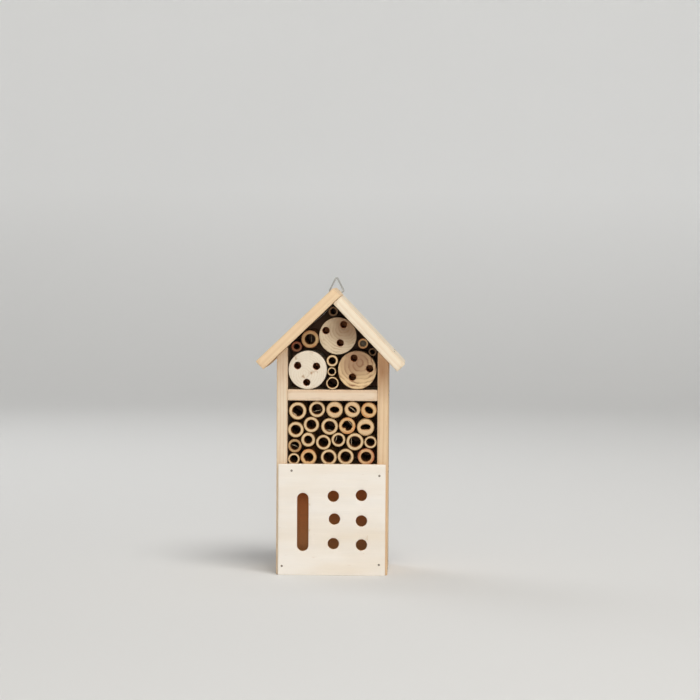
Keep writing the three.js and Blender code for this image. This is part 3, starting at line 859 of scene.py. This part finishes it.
def end_grain(name, centre, pith, ring_gap, pale, dark, contrast, stain_and_shade=None, spots=()):
    """A length of peeled log: rings round an off-centre pith, with pores and saw marks on its ends.

    The pith, ring gap, stain and spots are in millimetres, measured from the log's centre. A stain
    is a colour, the place where it is strongest, and how far it reaches; on the top log it is
    painted shadow from the roof. Spots are brown smudges: x, z and reach.
    """
    paint = Paint(name)
    pith = Vector((pith[0], 0, pith[1])) * MM
    local = paint.placed(paint.place, location=(-centre.x - pith.x, 0, -centre.z - pith.z))
    flat = paint.vector_math("MULTIPLY", local, (1, 0.12, 1))
    wander = paint.noise(flat, 75, 3, 0.55, "Color")
    bent, rings = growth_rings(paint, local, wander, 7.5 * MM, (1, 0, 1), ring_gap * MM)
    late = paint.ramp(rings, (0, 0.25), (0.2, 0), (0.55, 0.2), (0.82, 1), (0.94, 0.8), (1, 0.25))
    patchy = paint.ramp(paint.noise(flat, 80, 2), (0, 0.1), (0.38, 0.25), (0.6, 1))
    late = paint.math("MULTIPLY", paint.times(late, patchy), contrast, clamp=True)
    colour = paint.mix(late, pale, dark)
    # A darker patch: a brown stain in the right log's wood, painted shadow from the roof on the top log
    if stain_and_shade:
        stain_and_shade_colour, (x, z), reach = stain_and_shade
        away = paint.distance(bent, (x * MM - pith.x, z * MM - pith.z))
        away = paint.math("DIVIDE", away, reach * MM)
        soak = paint.ramp(away, (0, 0.9), (0.35, 0.75), (0.65, 0.4), (1, 0))
        colour = paint.mix(soak, colour, stain_and_shade_colour)

    pores = paint.noise(local, 1500, 3, 0.65, scale=(1, 0.05, 1))
    colour = paint.shade(colour, paint.spread(pores, 0.9, 1.07))
    smudge = paint.rise(paint.noise(local, 120, 4, 0.6, location=(0.3, 0, 0.1)), 0.6, 0.74)
    colour = paint.cover(colour, (186, 146, 104), smudge, 0.3)
    colour = smudged(paint, colour, centre, spots, (164, 122, 80), 0.85)
    kerf = paint.noise(local, 900, 2, rotation=(0, math.radians(28), 0), scale=(1, 1, 0.05))
    colour = paint.shade(colour, paint.spread(kerf, 0.95, 1.04))
    bare = paint.mix(paint.noise(local, 500, 3), (206, 134, 82), (170, 100, 58))
    colour = paint.mix(paint.rise(paint.mark(), 0.55, 0.9), colour, bare)
    relief = [(paint.math("SUBTRACT", kerf, late), 0.09 * MM), (pores, 0.08 * MM)]
    return paint.finish(colour, paint.spread(pores, 0.66, 0.85), relief, 0.25)


def drilled_to(node, loop):
    """How deep a blind hole runs in a node: the depth of its deepest point."""
    centre, radius = middle_and_radius(loop)
    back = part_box(node)[1].y
    return max(
        v.co.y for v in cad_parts[node].data.vertices
        if math.hypot(v.co.x - centre[0], v.co.z - centre[1]) < 1.1 * radius and v.co.y < back - MM
    )


GOUGE_SLOPE = 0.6  # how much deeper a chip is for each step towards its middle


def gouge(solid, place, size):
    """Pushes the points near a place back into the wood, as where a chip broke out."""
    for index, (x, y, z) in enumerate(solid.points):
        away = (Vector((x, y, z)) - place).length
        if away < size:
            solid.points[index] = (x, y + GOUGE_SLOPE * (size - away), z)


LOG_EASE = 0.15 * MM  # a log's outline lies this far inside its CAD circle, and waves by as much
LOG_CUT_AHEAD = 8 * MM  # how far ahead of its middle a log is cut, to meet every hole
LOG_SIDES, HOLE_SIDES = 110, 36
# Where fibres broke out at the mouth of a hole: (x and z from the log's centre, size), in millimetres
CHIPS = {"log_left": [(5.8, 5.8, 1.7)]}


def make_log(node, material, seed):
    """A drilled log with worn edges, and a chip or two out of it."""
    dice = random.Random(seed)
    low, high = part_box(node)
    middle = middle_of(node)
    loops = section(node, LOG_CUT_AHEAD)
    centre, radius = middle_and_radius(loops[0])
    waves = ripples(dice, (2, 3, 5), LOG_EASE, 0.2, 0.4)
    outline = circle(centre, radius - LOG_EASE, LOG_SIDES, waves)
    holes = []
    for loop in loops[1:]:
        waves = ripples(dice, (2, 5, 9), MM, 0.02, 0.06)
        mouth = circle(*middle_and_radius(loop), HOLE_SIDES, waves)
        holes.append((mouth, drilled_to(node, loop)))
    solid = slab(outline, low.y, high.y, LOG, dice, holes)
    for x, z, size in CHIPS.get(node, ()):
        gouge(solid, Vector((middle.x + x * MM, low.y, middle.z + z * MM)), size * MM)
    solid.weathered(LOG.waviness, LOG.nicks, seed)
    settle(solid.build(node + "_wood", material), HOUSE, "log_wood", node)


def make_logs():
    """The three logs: one almost white, one with strong yellow and red rings, one greyish."""
    woods = {
        "log_left": dict(
            pith=(-2, -3), ring_gap=2.3, pale=(231, 219, 200), dark=(204, 176, 140), contrast=0.34,
            spots=[(3.4, -3.0, 6.5), (8.4, -1.4, 4.2), (-3.6, -6.6, 6.0), (-11.0, 11.0, 5.0)]),
        "log_right": dict(
            pith=(3.3, 6.6), ring_gap=3.9, pale=(232, 202, 156), dark=(132, 80, 50), contrast=0.95,
            stain_and_shade=((148, 110, 84), (-1, 10), 24)),
        # Its stain is painted shadow from the roof over the log's top and upper right
        "log_top": dict(
            pith=(6, 8), ring_gap=2.8, pale=(216, 196, 166), dark=(158, 122, 88), contrast=0.6,
            stain_and_shade=((130, 96, 68), (10, 13), 27)),
    }
    for seed, (node, wood) in enumerate(woods.items(), 21):
        make_log(node, end_grain(node + "_wood", middle_of(node), **wood), seed)


# ---------------------------------------------------------------- bamboo canes

# Marks on a cane, which its material reads: from 0 on the skin to 1 at the bore's edge, up to 2 deep
# in the bore, 3 on a torn fibre and 4 on a mud plug
SKIN, BORE_EDGE, BORE_DEEP, FIBRE, PLUG = 0.0, 1.0, 2.0, 3.0, 4.0
CANE_STEPS = 60
BORE_EASE = 0.25 * MM  # the most by which a bore's mouth is wider in radius than the CAD's
EDGE_EASE = 0.22 * MM  # a cut end's edges are rounded back this much
EDGE_WIDTH = 0.14  # over this share of the wall
FIBRE_DIP = 1.5 * MM  # how much deeper a torn fibre's far end lies


def bamboo(name, wall, skin, inner, blush=None):
    """Cut bamboo: a thin hard skin, a pale fibrous wall, and a bore painted darker inwards as painted
    shade.
    """
    paint = Paint(name)
    place = paint.place
    mark = paint.math("DIVIDE", paint.mark(), PLUG)  # a scale of colours runs from 0 to 1
    fresh = (222, 204, 170)  # a torn fibre
    # From the bore's edge inwards the colours darken: painted shade deep in the bore
    colour = paint.colours(
        mark,
        (0, skin), (0.035, skin), (0.06, wall), (0.19, wall), (0.235, inner),
        (0.27, (182, 130, 82)), (0.34, (164, 116, 72)), (0.5, (116, 82, 52)),
        (0.7, fresh), (0.8, fresh), (0.95, (86, 76, 62)),
    )
    cells = {"Vector": paint.placed(place, scale=(1, 0.04, 1)), "Scale": 1500.0}
    bundles = paint.node("TexVoronoi", cells).outputs["Distance"]
    bundles = paint.ramp(bundles, (0, 1), (0.18, 0.9), (0.34, 0))
    depth = paint.ramp(mark, (0, 1), (0.06, 0.9), (0.2, 0.35), (0.26, 0))
    colour = paint.cover(colour, (158, 112, 66), bundles, depth, 0.42)
    colour = paint.shade(colour, paint.spread(paint.noise(place, 130, 3, 0.55), 0.84, 1.1))
    if blush:
        patch = paint.noise(place, 90, 2, location=(0.2, 0, 0.5))
        patch = paint.ramp(patch, (0, 0), (0.45, 0.1), (0.62, 1))
        edge = paint.ramp(mark, (0, 1), (0.1, 0.8), (0.2, 0.15), (0.25, 0))
        colour = paint.cover(colour, blush, patch, edge)
    fibre = paint.noise(place, 2600, 3, 0.6, scale=(1, 0.03, 1))
    roughness = paint.ramp(mark, (0, 0.36), (0.03, 0.42), (0.06, 0.62), (0.3, 0.75))
    return paint.finish(colour, roughness, [(bundles, 0.03 * MM), (fibre, 0.05 * MM)], 0.3)


def dented(reach, angles, dents):
    """Radii pressed in towards the centre: each dent is (angle in degrees, share, half width)."""
    for angle, share, width in dents:
        off = (np.degrees(angles) - angle + 180) % 360 - 180
        reach = reach * (1 - share * np.exp(-((off / width) ** 2)))
    return reach


class Cane:
    """One cane in the place of its CAD node, built as rows round its length."""

    def __init__(self, node, seed, bore_dents=(), rim_dents=(), floor=None):
        self.node = node
        self.dice = random.Random(seed)
        self.front, self.back = (corner.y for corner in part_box(node))
        self.span = self.back - self.front
        outer, bore = section(node)[:2]
        self.centre = (outer.min(0) + outer.max(0)) / 2
        self.angles = np.linspace(0, TAU, CANE_STEPS, endpoint=False)
        self.outer = dented(self.swollen(self.polar(outer), 0.12 * MM), self.angles, rim_dents)
        bore = self.swollen(self.polar(bore) + BORE_EASE, 0.14 * MM)
        self.bore = dented(bore, self.angles, bore_dents)
        if floor is not None:
            steepness = np.maximum(-np.sin(self.angles), 1e-3)  # how much each angle points down
            self.bore = np.minimum(self.bore, floor / steepness)
        self.solid = Solid()

    def polar(self, loop):
        """How far a loop lies from the cane's centre at each angle."""
        way = loop - self.centre
        at = np.arctan2(way[:, 1], way[:, 0])
        return np.interp(self.angles, at, np.hypot(*way.T), period=TAU)

    def swollen(self, reach, size):
        """Radii that vary a little round the cane, and never grow."""
        return reach + size * (swell(self.angles, ripples(self.dice, (2, 3), 1, 0.15, 0.4)) - 0.8)

    def ring(self, reach, depth, mark):
        """A row round the cane. The depth may differ from point to point."""
        depth = np.broadcast_to(depth, self.angles.shape)
        x = self.centre[0] + reach * np.cos(self.angles)
        z = self.centre[1] + reach * np.sin(self.angles)
        return self.solid.add(list(zip(x, depth, z)), mark)

    def rough(self, size):
        """A small random shift for each point of a row."""
        return np.array([self.dice.uniform(-size, size) for _ in self.angles])

    def end_face(self, depth, way):
        """Rows over a cut end, from the skin to the bore. The way is 1 at the front, -1 behind."""
        rows = []
        for share in (0.0, 0.06, 0.14, 0.3, 0.5, 0.7, 0.86, 0.95, 1.0):
            reach = self.outer * (1 - share) + self.bore * share
            near_edge = max(0, 1 - share / EDGE_WIDTH) + max(0, 1 - (1 - share) / EDGE_WIDTH)
            lift = EDGE_EASE * near_edge ** 2 + self.rough(0.035 * MM) + 0.05 * MM * math.sin(9 * share)
            rows.append(self.ring(reach, depth + way * lift, share * BORE_EDGE))
        return rows

    def side_rows(self):
        """Rows along the outside, front to back, with a joint of the cane somewhere on the way."""
        joint = self.dice.uniform(0.3, 0.7)
        # (share of the length, how far the skin is drawn in there, in millimetres)
        places = [
            (0.02, 0.1), (0.15, 0.1), (joint - 0.035, 0.1), (joint - 0.012, 0), (joint, 0.3),
            (joint + 0.02, 0.1), (0.85, 0.1), (0.98, 0.1),
        ]
        return [
            self.ring(self.outer - pinch * MM, self.front + self.span * share, SKIN)
            for share, pinch in places
        ]

    def bore_rows(self):
        """Rows along the bore, front to back."""
        rows = []
        for share in (0.01, 0.03, 0.07, 0.15, 0.3, 0.5, 0.8, 0.99):
            reach = self.bore * (1 + 0.03 * math.sin(20 * share)) + self.rough(0.05 * MM)
            # The mark grows with depth, so the bore is painted darker inwards as painted shade
            dark = BORE_EDGE + (BORE_DEEP - BORE_EDGE) * min(1.0, 0.02 + 2.2 * share)
            rows.append(self.ring(reach, self.front + self.span * share, dark))
        return rows

    def on_bore(self, angle, depth):
        """The point of the bore at an angle in degrees and a depth."""
        angle = math.radians(angle % 360)
        reach = np.interp(angle, self.angles, self.bore, period=TAU)
        x, z = self.centre + reach * np.array((math.cos(angle), math.sin(angle)))
        return Vector((x, depth, z))

    def fibre(self, start, end, width):
        """A torn fibre across the bore between two angles in degrees, a little way in."""
        depth = self.front + self.dice.uniform(1.2, 3.0) * MM
        first, last = self.on_bore(start, depth), self.on_bore(end, depth)
        along = last - first
        side = along.cross(Y).normalized()
        bow = self.dice.uniform(-0.1, 0.1) * along.length
        sections = []
        for share in np.linspace(0, 1, 7):
            bulge = math.sin(math.pi * share)
            half = width * (0.25 + 0.75 * bulge) / 2
            outline = [(-half, 0), (0, -0.1 * MM), (half, 0), (0, 0.15 * MM)]
            middle = first + (along + Y * FIBRE_DIP) * share + side * bow * bulge
            sections.append((middle, side, Y, outline))
        self.solid.lids(self.solid.loft(sections, FIBRE))

    def plug(self, depth):
        """Dried mud that closes the bore, a little way in."""
        rows = [
            self.ring(self.bore * share, self.front + depth - dome + self.rough(0.08 * MM), PLUG)
            for share, dome in ((1.02, -1.5 * MM), (1.0, 0), (0.7, 0.3 * MM), (0.35, 0.5 * MM))
        ]
        self.solid.wall(rows)
        self.solid.tip(rows[-1], (self.centre[0], self.front + depth - 0.6 * MM, self.centre[1]), PLUG)
        self.solid.faces.append(tuple(rows[0]))

    def make(self, material, fibre=None, plug=None):
        """The finished cane, with a torn fibre or a mud plug if it has one."""
        front = self.end_face(self.front, 1)
        back = self.end_face(self.back, -1)
        self.solid.wall([*front[::-1], *self.side_rows(), *back])
        self.solid.wall([front[-1], *self.bore_rows(), back[-1]])
        if fibre:
            start, end, width = fibre
            self.fibre(start, end, width * MM)
        if plug:
            self.plug(plug)
        settle(self.solid.build(self.node + "_bamboo", material, 50), HOUSE, "bamboo", self.node)


# Dents in a bore or a rim: (angle in degrees, share of the radius, half width in degrees)
BORE_DENTS = {
    "lower_01": [(235, 0.12, 14)],
    "lower_09": [(232, 0.42, 20), (150, 0.12, 16)],
    "lower_18": [(262, 0.12, 12), (205, 0.1, 14)],
    "lower_14": [(300, 0.05, 30)],
}
RIM_DENTS = {"upper_08": [(138, 0.13, 11)], "lower_18": [(150, 0.03, 9)]}
BORE_FLOORS = {"lower_10": 2.2 * MM}  # a flat bottom this far below the centre
PLUGS = {"upper_04": 3.5 * MM}  # mud this far in
# Torn fibres across a bore: (from and to which angle in degrees, width in millimetres)
FIBRES = {
    "lower_01": (196, 262, 0.7),
    "lower_02": (214, 350, 0.35),
    "lower_04": (142, 318, 0.8),
    "lower_08": (226, 306, 0.4),
    "lower_09": (84, 352, 0.5),
    "lower_13": (112, 214, 0.4),
    "lower_14": (128, 236, 0.4),
    "lower_16": (168, 330, 0.5),
    "lower_20": (20, 300, 0.3),
    "upper_02": (75, 285, 0.16),
}
# The colours of wall, skin, inner edge and blush, and which canes have them; the rest are cream
CANE_KINDS = {
    "cream": ([(222, 194, 152), (172, 134, 86), (178, 132, 84)], []),
    "pink": ([(222, 189, 146), (172, 138, 94), (196, 152, 106)], ["lower_03", "lower_04", "lower_10"]),
    "orange": ([(221, 184, 132), (160, 112, 64), (182, 130, 78), (204, 140, 84)],
               ["lower_05", "lower_09", "lower_18"]),
    "red": ([(218, 184, 136), (160, 96, 58), (170, 118, 72), (180, 108, 66)], ["lower_21"]),
    "tan": ([(184, 154, 108), (140, 104, 66), (140, 100, 62), (170, 112, 66)],
            ["upper_02", "upper_04", "lower_16"]),
    "rust": ([(120, 78, 50), (108, 58, 36), (100, 58, 36), (136, 64, 34)], ["upper_03"]),
    # The dark kind is partly the canes' own brown, partly painted shade under the roof on the apex canes
    "dark": ([(106, 80, 52), (72, 50, 32), (80, 56, 36)], ["upper_01", "upper_05"]),
}


def make_canes():
    """Every cane, from its own seed, in one of the colours of bamboo."""
    materials = {}
    for kind, (colours, names) in CANE_KINDS.items():
        material = bamboo("bamboo_" + kind, *colours)
        materials.update({name: material for name in names or ["cream"]})
    nodes = sorted(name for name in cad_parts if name.startswith("cane_"))
    for seed, node in enumerate(nodes, 100):
        name = node.removeprefix("cane_")
        cane = Cane(node, seed, BORE_DENTS.get(name, ()), RIM_DENTS.get(name, ()), BORE_FLOORS.get(name))
        cane.make(materials.get(name, materials["cream"]), FIBRES.get(name), PLUGS.get(name))


# ---------------------------------------------------------------- nails and hanger

def metal(name, colour, dull, roughness, shine, rust=None):
    """Zinc plate or bare steel, mottled and lightly scratched. The shine is how metallic it looks."""
    paint = Paint(name)
    mottle = paint.noise(paint.place, 900, 4, 0.6)
    tone = paint.mix(paint.rise(mottle, 0.35, 0.65), colour, dull)
    metallic = shine
    if rust:
        spots = paint.rise(paint.noise(paint.place, 1500, 3, 0.6), 0.52, 0.62)
        tone = paint.mix(spots, tone, rust)
        metallic = paint.math("SUBTRACT", shine, paint.times(spots, 0.8 * shine))
    scratch = paint.noise(paint.place, 3000, 3, 0.6, rotation=(0.4, 0.7, 0.2), scale=(1, 1, 0.04))
    worn = paint.spread(paint.math("ADD", mottle, scratch), roughness - 0.2, roughness + 0.2)
    relief = [(mottle, 0.02 * MM), (scratch, 0.015 * MM)]
    return paint.finish(tone, worn, relief, metallic=metallic)


def turned(head, way, profile, count=20):
    """A solid turned about an axis: the profile is (radius, how far along the axis)."""
    solid = Solid()
    across = way.orthogonal().normalized()
    over = way.cross(across)
    sections = [
        (head + way * along, across, over, circle((0, 0), radius, count)) for radius, along in profile
    ]
    rows = solid.loft(sections)
    solid.tip(rows[0], sections[0][0])
    solid.tip(rows[-1], sections[-1][0])
    return solid


def nail_line(node):
    """A CAD nail's head centre, the way it points, its length and the radius of its head."""
    points = np.array([tuple(v.co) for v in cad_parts[node].data.vertices])
    middle = points.mean(0)
    way = np.linalg.svd(points - middle)[2][0]  # in which its points spread the most
    along = (points - middle) @ way
    off = np.linalg.norm(points - middle - along[:, None] * way, axis=1)
    if along[off.argmax()] > 0:  # the head, its widest part, comes first
        way, along = -way, -along
    axis = Vector(way)
    head = Vector((points[off > 0.8 * off.max()]).mean(0))
    head = head - axis * ((head - Vector(middle)).dot(axis) - along.min())
    return head, axis, float(np.ptp(along)), float(off.max())


NAIL_CROWN = 0.28 * MM  # how far a nail's head stands proud of the wood
NAIL_POINT = 2 * MM
SIDE_NAIL_SEED = 31


def nail(name, head, way, length, radius, material, *nodes):
    """A domed nail head with a short neck, whose crown stands just proud of the wood."""
    shank = 0.62 * radius
    profile = [
        (0.12 * radius, -NAIL_CROWN), (0.45 * radius, -0.92 * NAIL_CROWN),
        (0.78 * radius, -0.62 * NAIL_CROWN), (0.95 * radius, -0.2 * NAIL_CROWN),
        (radius, 0.12 * MM), (0.96 * radius, 0.34 * MM), (shank, 0.5 * MM),
        (shank, length - NAIL_POINT), (0.15 * shank, length),
    ]
    solid = turned(head, way, profile)
    settle(solid.build(name, material, 40), HOUSE, "nail_steel", *nodes)


SIDE_NAIL_LENGTH = 16 * MM
SIDE_NAIL_RADIUS = 1.0 * MM
SIDE_NAILS_IN = (14 * MM, -16 * MM)  # from the front and back edges of a side board


def make_nails():
    """The CAD nails, and the nails that hold the shelves and the base through the side boards."""
    steel = metal("nail_steel", (168, 162, 152), (124, 116, 104),
                  roughness=0.5, shine=0.8, rust=(112, 80, 54))
    for node in sorted(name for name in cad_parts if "_nail_" in name):
        nail(node + "_steel", *nail_line(node), steel, node)
    dice = random.Random(SIDE_NAIL_SEED)
    for side, inward in (("left", 1), ("right", -1)):
        low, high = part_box("side_board_" + side)
        face = low.x if inward > 0 else high.x
        for shelf in ("shelf_upper", "shelf_lower", "base_board"):
            for number, (edge, inset) in enumerate(zip((low.y, high.y), SIDE_NAILS_IN), 1):
                depth = edge + inset + dice.uniform(-2, 2) * MM
                spot = Vector((face, depth, middle_of(shelf).z + dice.uniform(-1, 1) * MM))
                nail(f"side_nail_{side}_{shelf}_{number}", spot, X * inward,
                     SIDE_NAIL_LENGTH, SIDE_NAIL_RADIUS, steel)


RING_BEND = 1.2 * MM  # radius of the wire's middle line at a corner
RING_STEP = 0.4 * MM  # along the wire
WIRE_SIDES = 16


def make_ring():
    """The bent wire ring. Its ends meet inside the strap's eye."""
    node = "hanger_ring"
    wire = circle((0, 0), size_of(node).y / 2, WIRE_SIDES)
    depth = middle_of(node).y
    outer, inner = (corners_of(loop, 3 * MM) for loop in section(node)[:2])
    nearest = [outer[np.hypot(*(outer - corner).T).argmin()] for corner in inner]
    path = filleted((inner + nearest) / 2, RING_BEND, RING_STEP, bends=9)
    solid = Solid()
    rows = solid.loft([
        (Vector((x, depth, z)), Vector((out_x, 0, out_z)), Y, wire)
        for (x, z), (out_x, out_z) in zip(path, outward(path))
    ])
    solid.wall([rows[-1], rows[0]])
    zinc = metal("zinc_wire", (190, 190, 186), (158, 158, 154), roughness=0.36, shine=0.85)
    settle(solid.build(node + "_wire", zinc, 60), RING, "zinc_wire", node)


EYE_PLAY = 0.2 * MM  # between the ring's bar and the strap's eye
LEAF_GAP = 0.02 * MM  # between the strap's two leaves
STRAP_BEVEL = 0.12 * MM


def strap_path(rear, bottom, bar, eye, sheet):
    """The strip's middle line in Y and Z: up the inner leaf, round the bar, down the outer leaf."""
    middle = eye + sheet / 2  # radius of the bend
    hub = rear + middle + sheet / 2
    line = [(rear + sheet / 2, z) for z in np.linspace(bottom, bar, 9)[:-1]]
    line += [
        (hub + middle * math.cos(a), bar + middle * math.sin(a))
        for a in np.linspace(math.pi, -0.62 * math.pi, 25)
    ]
    leaf = rear + 1.5 * sheet + LEAF_GAP
    line += [(leaf, z) for z in np.linspace(bar - 1.25 * middle - sheet, bottom, 8)]
    return np.array(line)


def make_strap(zinc):
    """The folded strap with the ring's bar in its eye. The screw's hole is left out, under its head."""
    node = "hanger_strap"
    low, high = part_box(node)
    wire = size_of("hanger_ring").y / 2
    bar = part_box("hanger_ring")[0].z + wire
    sheet = high.y - middle_of("hanger_ring").y - wire - EYE_PLAY
    path = strap_path(low.y, low.z, bar, wire + EYE_PLAY, sheet)
    half = size_of(node).x / 2
    corner = 0.9 * half
    thick = 0.48 * sheet  # half the sheet, less a hair so that the leaves stay apart
    way = np.gradient(path, axis=0)
    way = way / np.hypot(*way.T)[:, None]
    sections = []
    for (y, z), (way_y, way_z) in zip(path, way):
        below = max(0, corner - (z - low.z))  # into the round corners at the strip's ends
        reach = half - corner + math.sqrt(corner ** 2 - below ** 2)
        flat = reach - STRAP_BEVEL
        outline = [
            (-reach, 0), (-flat, thick), (flat, thick), (reach, 0), (flat, -thick), (-flat, -thick),
        ]
        sections.append((Vector((middle_of(node).x, y, z)), X, Vector((0, -way_z, way_y)), outline))
    solid = Solid()
    solid.lids(solid.loft(sections))
    settle(solid.build(node + "_sheet", zinc, 45), HOUSE, "zinc_plate", node)


CROSS_TURN = 0.3  # radians from level


def cross_cutter(head, reach, half, depth):
    """Two tapered blades, which cut a cross into a screw's head that faces along Y."""
    solid = Solid()
    square = [(-1, -1), (1, -1), (1, 1), (-1, 1)]
    for turn in (CROSS_TURN, CROSS_TURN + math.pi / 2):
        along = Vector((math.cos(turn), 0, math.sin(turn)))
        side = along.cross(Y)
        solid.lids(solid.loft([
            (head + Y * depth, along * reach, side * half, square),
            (head - Y * depth, along * 0.35 * reach, side * 0.6 * half, square),
        ]))
    return solid


STRAP_THICKNESS = 1.4 * MM  # of both leaves, under the screw's head


def make_screw(zinc):
    """The pan-headed screw, with a cross recess cut by a boolean."""
    node = "hanger_screw"
    radius = size_of(node).x / 2
    length = size_of(node).y
    head = middle_of(node) + Y * length / 2
    height = head.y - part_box("hanger_strap")[0].y - STRAP_THICKNESS
    shank = 0.44 * radius
    profile = [
        (0.1 * radius, 0), (0.5 * radius, 0.03 * height), (0.78 * radius, 0.16 * height),
        (0.94 * radius, 0.42 * height), (radius, 0.7 * height), (0.98 * radius, height),
        (shank, height + 0.05 * MM), (shank, length - NAIL_POINT), (0.1 * shank, length),
    ]
    body = turned(head, -Y, profile, 40).build(node + "_zinc", zinc, 40)
    cutter = cross_cutter(head, 0.6 * radius, 0.15 * radius, 0.75 * height).build("cutter", zinc)
    bite = body.modifiers.new("cross", "BOOLEAN")
    bite.operation = "DIFFERENCE"
    bite.solver = "EXACT"
    bite.use_self = True
    bite.object = cutter
    graph = bpy.context.evaluated_depsgraph_get()
    cut = bpy.data.meshes.new_from_object(body.evaluated_get(graph))
    body.modifiers.clear()
    body.data = cut
    bpy.data.objects.remove(cutter)
    settle(body, HOUSE, "zinc_plate", node)


def make_hanger():
    """The ring, the strap that holds it, and the strap's screw."""
    make_ring()
    zinc = metal("zinc_plate", (208, 206, 198), (172, 170, 160), roughness=0.4, shine=0.85)
    make_strap(zinc)
    make_screw(zinc)


# ---------------------------------------------------------------- assembly

make_camera()
make_lights()
make_floor()
make_boards()
make_front_panel()
make_back_panel()
make_logs()
make_canes()
make_nails()
make_hanger()
